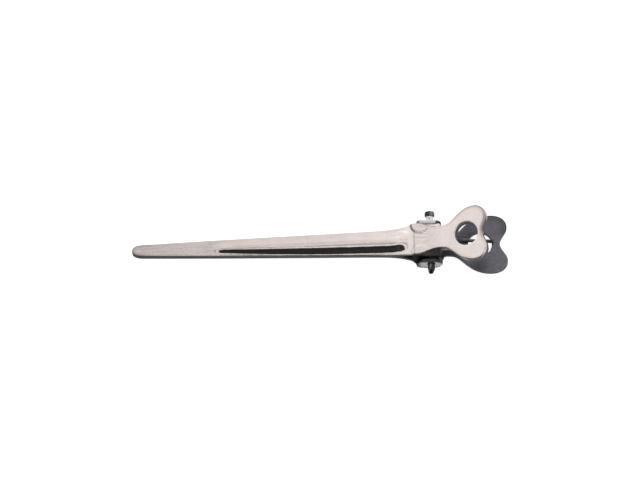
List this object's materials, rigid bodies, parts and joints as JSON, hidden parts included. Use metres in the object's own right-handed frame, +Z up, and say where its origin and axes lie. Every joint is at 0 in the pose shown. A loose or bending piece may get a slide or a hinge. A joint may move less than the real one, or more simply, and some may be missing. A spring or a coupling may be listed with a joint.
{
  "type": "sectioning hair clip",
  "caption": "Long duckbill hair clip: two stamped sheet-metal jaws on a cross pin, closed by a torsion spring, with lobed finger tabs that each have a round hole.",
  "frame": {"origin": "centre of the footprint of the closed clip, on the surface that the lower jaw's body lies on", "axes": "+X from the prong tips to the finger tabs, +Y along the hinge axis towards the pin's head, +Z up through the jaws"},
  "size_m": [0.1, 0.0172, 0.0126],
  "materials": {
    "bright_plate": "bright nickel plate, slightly satin, with fine scratches",
    "dull_plate": "nickel plate, duller and greyer on the inside faces",
    "pin_steel": "plated steel with a dark cut end",
    "spring_wire": "drawn spring wire, semi-gloss"
  },
  "bodies": {
    "lower": {"lower_jaw": "dull_plate", "hinge_pin": "pin_steel", "torsion_spring": "spring_wire"},
    "upper": {"upper_jaw": "bright_plate"}
  },
  "joints": [
    {"name": "jaw_hinge", "type": "hinge", "parent": "lower", "child": "upper", "pos_m": [0.0295, 0, 0.00365], "axis": [0, 1, 0], "range_deg": [0, 26], "stiffness_Nm_per_rad": 0.1, "springref_deg": -28.65, "deforming": ["torsion_spring"]}
  ]
}
